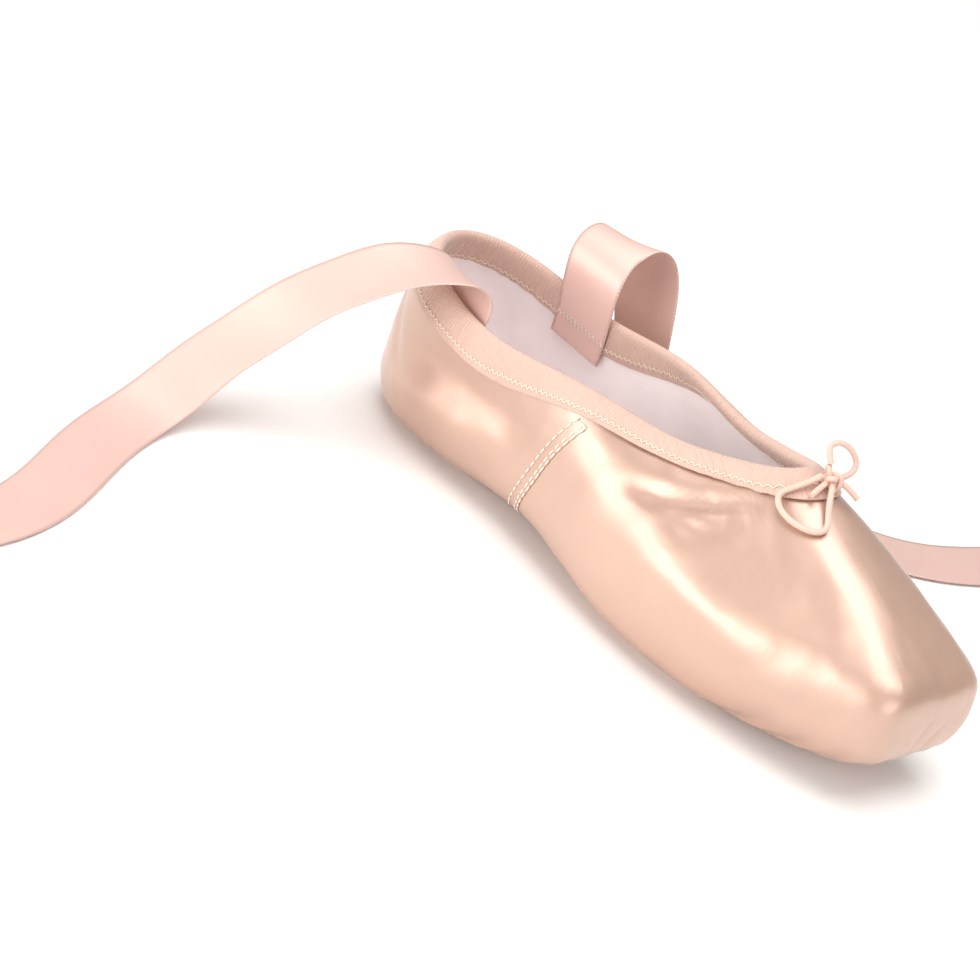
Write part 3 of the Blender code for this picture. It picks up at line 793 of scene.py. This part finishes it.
class POINTE_OT_ribbons(bpy.types.Operator):
    """Make the two satin ribbons with their folded tabs"""
    bl_idname = "pointe.ribbons"
    bl_label = "Ribbons"

    def execute(self, context):
        for name, rows, outward in (("ribbon_right", RIBBON_RIGHT, -1), ("ribbon_left", RIBBON_LEFT, 1)):
            self.ribbon(name, rows, outward)
        return {"FINISHED"}

    def ribbon(self, name, rows, outward):
        stations = even_line(smooth_line(rows, 400), 0.0011)
        centre = stations[:, :3]
        along = np.gradient(centre, axis=0)
        along /= np.linalg.norm(along, axis=1)[:, None]
        turn = np.radians(stations[:, 3])
        across = np.stack((np.cos(turn), np.sin(turn), 0 * turn), axis=1)
        across -= along * (across * along).sum(axis=1)[:, None]
        across /= np.linalg.norm(across, axis=1)[:, None]
        face = np.cross(along, across)

        # The tab's hidden layer goes down behind it and folds forward at the bottom
        fold = 0.0008
        back = np.array((0, outward, 0.0))
        down = centre[0] + np.array((0, 0, 0.0002))
        folded = [down + back * fold + np.array((0, 0, h)) for h in (0.0050, 0.0037, 0.0024, 0.0012)]
        folded += [down + back * fold * 0.75 - np.array((0, 0, 0.0001)), down + back * fold * 0.35 - np.array(
            (0, 0, 0.0003))]
        centre = np.concatenate((folded, centre))
        across = np.concatenate(([across[0]] * len(folded), across))
        face = np.concatenate(([face[0]] * len(folded), face))
        lengths = lengths_along(centre)

        thread = []
        level = len(folded) + int(np.argmin(np.abs(centre[len(folded):len(folded) + 20, 2] - 0.0452)))
        for k in range(25):
            share = (k / 24 - 0.5) * 0.96
            up = 0.0006 * (1 if k % 2 else -1)
            place = centre[level] + across[level] * share * RIBBON_WIDTH + np.array((0, 0, up))
            thread.append(place - np.array((0, outward, 0)) * (RIBBON_THICKNESS / 2 + 0.00018))
        sizes = bpy.context.scene.pointe_sizes
        row = fixed(tube("tab_stitches_" + name, thread, sizes.thread, "thread", sides=2))
        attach(row, BODY)

        columns = 14
        bm = bmesh.new()
        bmesh.ops.create_grid(bm, x_segments=columns, y_segments=len(centre) - 1, size=0.5)
        layer = bm.loops.layers.uv.new("cloth")
        for vert in bm.verts:
            share, number = vert.co.x, round((vert.co.y + 0.5) * (len(centre) - 1))
            free = min(1.0, max(0.0, (lengths[number] - 0.030) / 0.03))
            ripple = 0.0004 * math.sin(lengths[number] * 170 + share * 2) * free
            curl = 0.0011 * (4 * share * share - 0.33) * free
            clear = min(1.0, max(0.0, (centre[number][2] - 0.0008) / 0.02))
            lift = (ripple + curl) * clear
            vert.co = Vector(centre[number] + across[number] * share * RIBBON_WIDTH + face[number] * lift)
            vert.index = number
        for each in bm.faces:
            for loop in each.loops:
                number = loop.vert.index
                side = float(np.dot(np.array(loop.vert.co) - centre[number], across[number]))
                loop[layer].uv = (lengths[number] / MM, side / MM)
        ribbon = from_bmesh("satin_" + name, bm, "ribbon")
        wall = ribbon.modifiers.new("wall", "SOLIDIFY")
        wall.thickness = RIBBON_THICKNESS
        wall.offset = 0
        ribbon = fixed(ribbon)
        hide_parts(name)
        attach(ribbon, BODY)


class POINTE_OT_upper(bpy.types.Operator):
    """Make the satin upper with its creases, pleats and cotton lining"""
    bl_idname = "pointe.upper"
    bl_label = "Upper"

    def execute(self, context):
        sizes = context.scene.pointe_sizes
        upper = copy_of_node("upper", "upper_satin", 2, "satin", "lining")
        mesh = upper.data
        places = places_of(mesh)
        normals = normals_of(mesh)
        low, high = (np.array(corner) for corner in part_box("upper"))
        centre_line = np.stack((np.clip(places[:, 0], low[0] + 0.02, high[0] - 0.035),
                                0 * places[:, 1], 0 * places[:, 2] + 0.026), axis=1)
        outer = (normals * (places - centre_line)).sum(axis=1) > 0
        self.line_inside(mesh, outer)
        moved = self.sharpen_pleats(mesh, places, outer)
        lift = np.zeros(len(places))
        for _, points, width, height in CREASES:
            line = through_line([low + np.array(point) * (high - low) for point in points], 60)
            numbers, distances = nearest_on_line(places, line)
            ends = np.sin(np.pi * np.clip(numbers / 59, 0.02, 0.98)) ** 0.6
            lift += height * MM * np.exp(-(distances / (width * MM)) ** 2) * ends
        for number, place in enumerate(places):
            wave = noise.noise(Vector(place) * 75) * 0.00022 + noise.noise(Vector(place) * 190) * 0.00010
            lift[number] += wave
        moved += normals * (lift * sizes.crease * np.where(outer, 1, -1))[:, None]
        move_to(mesh, moved)
        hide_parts("upper")
        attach(upper, BODY)
        return {"FINISHED"}

    def line_inside(self, mesh, outer):
        """Give the inner faces the cotton lining."""
        for face in mesh.polygons:
            if sum(bool(outer[v]) for v in face.vertices) * 2 < len(face.vertices):
                face.material_index = 1
            else:
                face.material_index = 0

    def sharpen_pleats(self, mesh, places, outer):
        """Push the pleats' folds further out and their furrows further in."""
        edges = np.array([edge.vertices[:] for edge in mesh.edges])
        count = np.bincount(edges.ravel(), minlength=len(places))[:, None]
        smooth = places.copy()
        for _ in range(14):
            total = np.zeros_like(smooth)
            np.add.at(total, edges[:, 0], smooth[edges[:, 1]])
            np.add.at(total, edges[:, 1], smooth[edges[:, 0]])
            smooth = total / count
        share = np.clip((places[:, 0] - 0.045) / 0.02, 0, 1) * np.clip((0.020 - places[:, 2]) / 0.008, 0, 1)
        return places + (places - smooth) * (share * outer * 0.6)[:, None]


class POINTE_OT_binding(bpy.types.Operator):
    """Make the ribbed tape over the collar and its zigzag stitching"""
    bl_idname = "pointe.binding"
    bl_label = "Collar tape"

    def execute(self, context):
        sizes = context.scene.pointe_sizes
        line = collar_line()
        binding = copy_of_node("collar_binding", "collar_tape", 2, "tape")
        mesh = binding.data
        measure_cloth(binding, line, closed=True)
        self.gather(mesh, line)
        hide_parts("collar_binding")
        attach(binding, BODY)
        skin = Skin(binding)
        count = 2 * round(len(line) * np.linalg.norm(line[1] - line[0]) / sizes.zigzag)
        for side, name in ((1, "zigzag_outside"), (-1, "zigzag_inside")):
            reaches = self.reaches(skin, line, side)
            points = []
            for k in range(count):
                number = round(k * len(line) / count) % len(line)
                down = reaches[number] - ZIGZAG_ABOVE_EDGE + ZIGZAG_HALF_HEIGHT * (1 if k % 2 else -1)
                spot = None
                while spot is None and down > 0.003:
                    spot = skin.below(Vector(line[number]), self.outward(line, number, side), down)
                    down -= REACH_STEP
                place, normal = spot
                points.append(place + normal * 0.00011)
            full = []
            for k, point in enumerate(points):
                after = points[(k + 1) % len(points)]
                middle = (point + after) / 2
                _, normal = skin.nearest(middle)
                full += [point, middle + normal * 0.00018]
            row = fixed(tube(name, full, sizes.thread * 0.85, "thread", sides=1, closed=True))
            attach(row, BODY)
        return {"FINISHED"}

    def gather(self, mesh, line):
        """Pucker the tape a little at the heel and the throat."""
        places = places_of(mesh)
        numbers, distances = nearest_on_line(places, line)
        along = numbers * float(np.linalg.norm(line[1] - line[0])) * 2 * np.pi
        at_heel = np.clip((-0.066 - places[:, 0]) / 0.02, 0, 1)
        at_throat = np.clip((places[:, 0] - 0.012) / 0.02, 0, 1) * 0.6
        wave = 1 + np.sin(along / 0.0054 + 1.3 * np.sin(along / 0.021))
        lower = np.clip((distances - 0.002) / 0.004, 0, 1)
        lift = 0.0002 * wave * (at_heel + at_throat) * lower
        move_to(mesh, places + normals_of(mesh) * lift[:, None])

    def outward(self, line, number, side):
        along = line[(number + 3) % len(line)] - line[number - 3]
        return Vector((along[1], -along[0], 0)).normalized() * side

    def reaches(self, skin, line, side):
        """How far the tape's lower edge lies from the ridge, all the way round."""
        marks, found = list(range(0, len(line), 6)), []
        for number in marks:
            reach = LONGEST_REACH
            while reach > SHORTEST_REACH:
                if skin.below(Vector(line[number]), self.outward(line, number, side), reach):
                    break
                reach -= REACH_STEP
            found.append(reach)
        found = np.array(found)
        for _ in range(6):
            lowest = np.minimum(np.minimum(np.roll(found, 1), np.roll(found, -1)), found)
            found = (np.roll(found, 1) + np.roll(found, -1) + 2 * lowest) / 4
        return np.interp(range(len(line)), marks + [len(line)], np.append(found, found[0]))


class POINTE_OT_seams(bpy.types.Operator):
    """Make the side seams with their stitches and piping"""
    bl_idname = "pointe.seams"
    bl_label = "Side seams"

    def execute(self, context):
        sizes = context.scene.pointe_sizes
        cloth = Skin(bpy.data.objects["upper_satin"])
        for side, word in ((1, "left"), (-1, "right")):
            node = "side_seam_" + word
            band = copy_of_node(node, "seam_band_" + word, 2, "satin")
            middle = even_line(through_line([(x, y * side, z) for x, y, z in SIDE_SEAM], 80) * MM, 0.0008)
            self.press(band, middle, cloth)
            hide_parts(node)
            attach(band, BODY)
            rows = []
            for shift in SEAM_ROWS:
                line, normals = self.beside(cloth, middle, shift, 0.00034)
                rows += spaced_stitches(line, normals, sizes.seam_stitch, SEAM_GAP)
            stitched = stitches("seam_stitches_" + word, rows, sizes.seam_stitch, sizes.thread * 1.5,
                                sizes.thread * 1.3, "thread")
            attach(stitched, BODY)
        return {"FINISHED"}

    def press(self, band, middle, cloth):
        """Lay the band on the satin, thickest along its middle and thin at its edges."""
        places = places_of(band.data)
        _, distances = nearest_on_line(places, middle)
        for number, place in enumerate(places):
            found, normal = cloth.nearest(Vector(place))
            share = min(1.0, distances[number] / SEAM_HALF_WIDTH)
            height = 0.00034 * math.sqrt(1 - share ** 2) - 0.00006
            if (Vector(place) - found).dot(normal) < 0.0002:
                height = -0.0002
            places[number] = found + normal * height
        move_to(band.data, places)

    def beside(self, skin, middle, shift, lift):
        """A line beside the seam's middle, on the band's surface."""
        line, normals = [], []
        for number, place in enumerate(middle):
            before, after = middle[max(number - 1, 0)], middle[min(number + 1, len(middle) - 1)]
            found, normal = skin.nearest(Vector(place))
            away = normal.cross(Vector(after - before)).normalized()
            if away.x < 0:
                away = -away
            found, normal = skin.nearest(found + normal * 0.001 + away * shift)
            line.append(found + normal * lift)
            normals.append(normal)
        return np.array(line), np.array(normals)


class POINTE_OT_soles(bpy.types.Operator):
    """Make the leather outsole with its stitched channel, and the insole"""
    bl_idname = "pointe.soles"
    bl_label = "Soles"

    def execute(self, context):
        sizes = context.scene.pointe_sizes
        sole = self.fine_plate("outsole", "leather")
        outline = self.outline(sole)
        _, distances = nearest_on_line(places_of(sole.data) * (1, 1, 0), outline)
        add_attribute(sole.data, "inset", distances / MM)
        add_attribute(sole.data, "underside", normals_of(sole.data)[:, 2] < -0.5)
        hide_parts("outsole")
        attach(sole, BODY)

        skin = Skin(sole)
        rows = []
        for inset, start in ((sizes.channel, -1.0), (sizes.channel + SOLE_ROW_GAP, SOLE_ROW_START)):
            inner = self.inset_line(outline, inset)
            kept = inner[inner[:, 0] > start]
            placed, normals = [], []
            for x, y, _ in kept:
                found, _ = skin.nearest((x, y, -0.002))
                placed.append(found - Vector((0, 0, 0.00002)))
                normals.append(Vector((0, 0, -1)))
            rows += spaced_stitches(np.array(placed), np.array(normals), sizes.sole_stitch, SOLE_GAP)
        stitched = stitches("sole_stitches", rows, sizes.sole_stitch, 0.0006, 0.0005, "dark thread")
        places = places_of(stitched.data)
        places[:, 2] = np.maximum(places[:, 2], SOLE_LOWEST)
        move_to(stitched.data, places)
        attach(stitched, BODY)

        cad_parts["insole"].data.materials[0] = finish("sock")
        return {"FINISHED"}

    def fine_plate(self, node, kind):
        bm = bmesh.new()
        bm.from_mesh(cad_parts[node].data)
        bmesh.ops.remove_doubles(bm, verts=bm.verts, dist=1e-6)
        for _ in range(5):
            long = [edge for edge in bm.edges if edge.calc_length() > 0.0022]
            if not long:
                break
            bmesh.ops.subdivide_edges(bm, edges=long, cuts=1)
            bmesh.ops.triangulate(bm, faces=[face for face in bm.faces if len(face.verts) > 3])
        for face in bm.faces:
            face.material_index = 0
        made = from_bmesh(node + "_" + kind, bm, kind)
        made.data.set_sharp_from_angle(angle=math.radians(50))
        return made

    def outline(self, sole):
        """The outsole's edge in plan, in order round its middle line."""
        places = places_of(sole.data)
        low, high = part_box("outsole")
        line = []
        for share in np.linspace(0, 1, 241):
            x = low.x + 0.0004 + (high.x - low.x - 0.0008) * (0.5 - 0.5 * math.cos(math.pi * share))
            near = places[np.abs(places[:, 0] - x) < 0.0016]
            line.append((x, near[:, 1].max()))
        left = [(x, y, 0) for x, y in line]
        right = [(x, -y, 0) for x, y in line[::-1]]
        smooth = np.array(left + right)
        for _ in range(6):
            smooth = (np.roll(smooth, 1, axis=0) + 2 * smooth + np.roll(smooth, -1, axis=0)) / 4
        return even_line(smooth, 0.0008, closed=True)

    def inset_line(self, outline, inset):
        along = np.roll(outline, -3, axis=0) - np.roll(outline, 3, axis=0)
        inward = np.stack((along[:, 1], -along[:, 0], 0 * along[:, 2]), axis=1)
        inward /= np.linalg.norm(inward, axis=1)[:, None]
        middle = outline.mean(axis=0)
        if (inward * (middle - outline)).sum() < 0:
            inward = -inward
        line = outline + inward * inset
        _, distances = nearest_on_line(line, outline)
        line = line[distances > inset * 0.93]
        for _ in range(4):
            line = (np.roll(line, 1, axis=0) + 2 * line + np.roll(line, -1, axis=0)) / 4
        return line


class POINTE_PT_panel(bpy.types.Panel):
    """Buttons that build the shoe's pieces"""
    bl_label = "Pointe Shoe"
    bl_idname = "POINTE_PT_panel"
    bl_space_type = "VIEW_3D"
    bl_region_type = "UI"
    bl_category = "Pointe Shoe"

    def draw(self, context):
        for step in STEPS:
            self.layout.operator(step)
        for group in (context.scene.pointe_sizes, context.scene.pointe_colours):
            for name in group.__annotations__:
                self.layout.prop(group, name)


STEPS = ("pointe.stage", "pointe.bow", "pointe.ribbons", "pointe.upper", "pointe.binding", "pointe.seams",
         "pointe.soles")
CLASSES = (PointeSizes, PointeColours, POINTE_OT_stage, POINTE_OT_bow, POINTE_OT_ribbons, POINTE_OT_upper,
           POINTE_OT_binding, POINTE_OT_seams, POINTE_OT_soles, POINTE_PT_panel)


def register():
    for each in CLASSES:
        bpy.utils.register_class(each)
    bpy.types.Scene.pointe_sizes = PointerProperty(type=PointeSizes)
    bpy.types.Scene.pointe_colours = PointerProperty(type=PointeColours)


def unregister():
    del bpy.types.Scene.pointe_colours
    del bpy.types.Scene.pointe_sizes
    for each in reversed(CLASSES):
        bpy.utils.unregister_class(each)


def main():
    register()
    for step in STEPS:
        group, name = step.split(".")
        getattr(getattr(bpy.ops, group), name)()


if __name__ == "__main__":
    main()
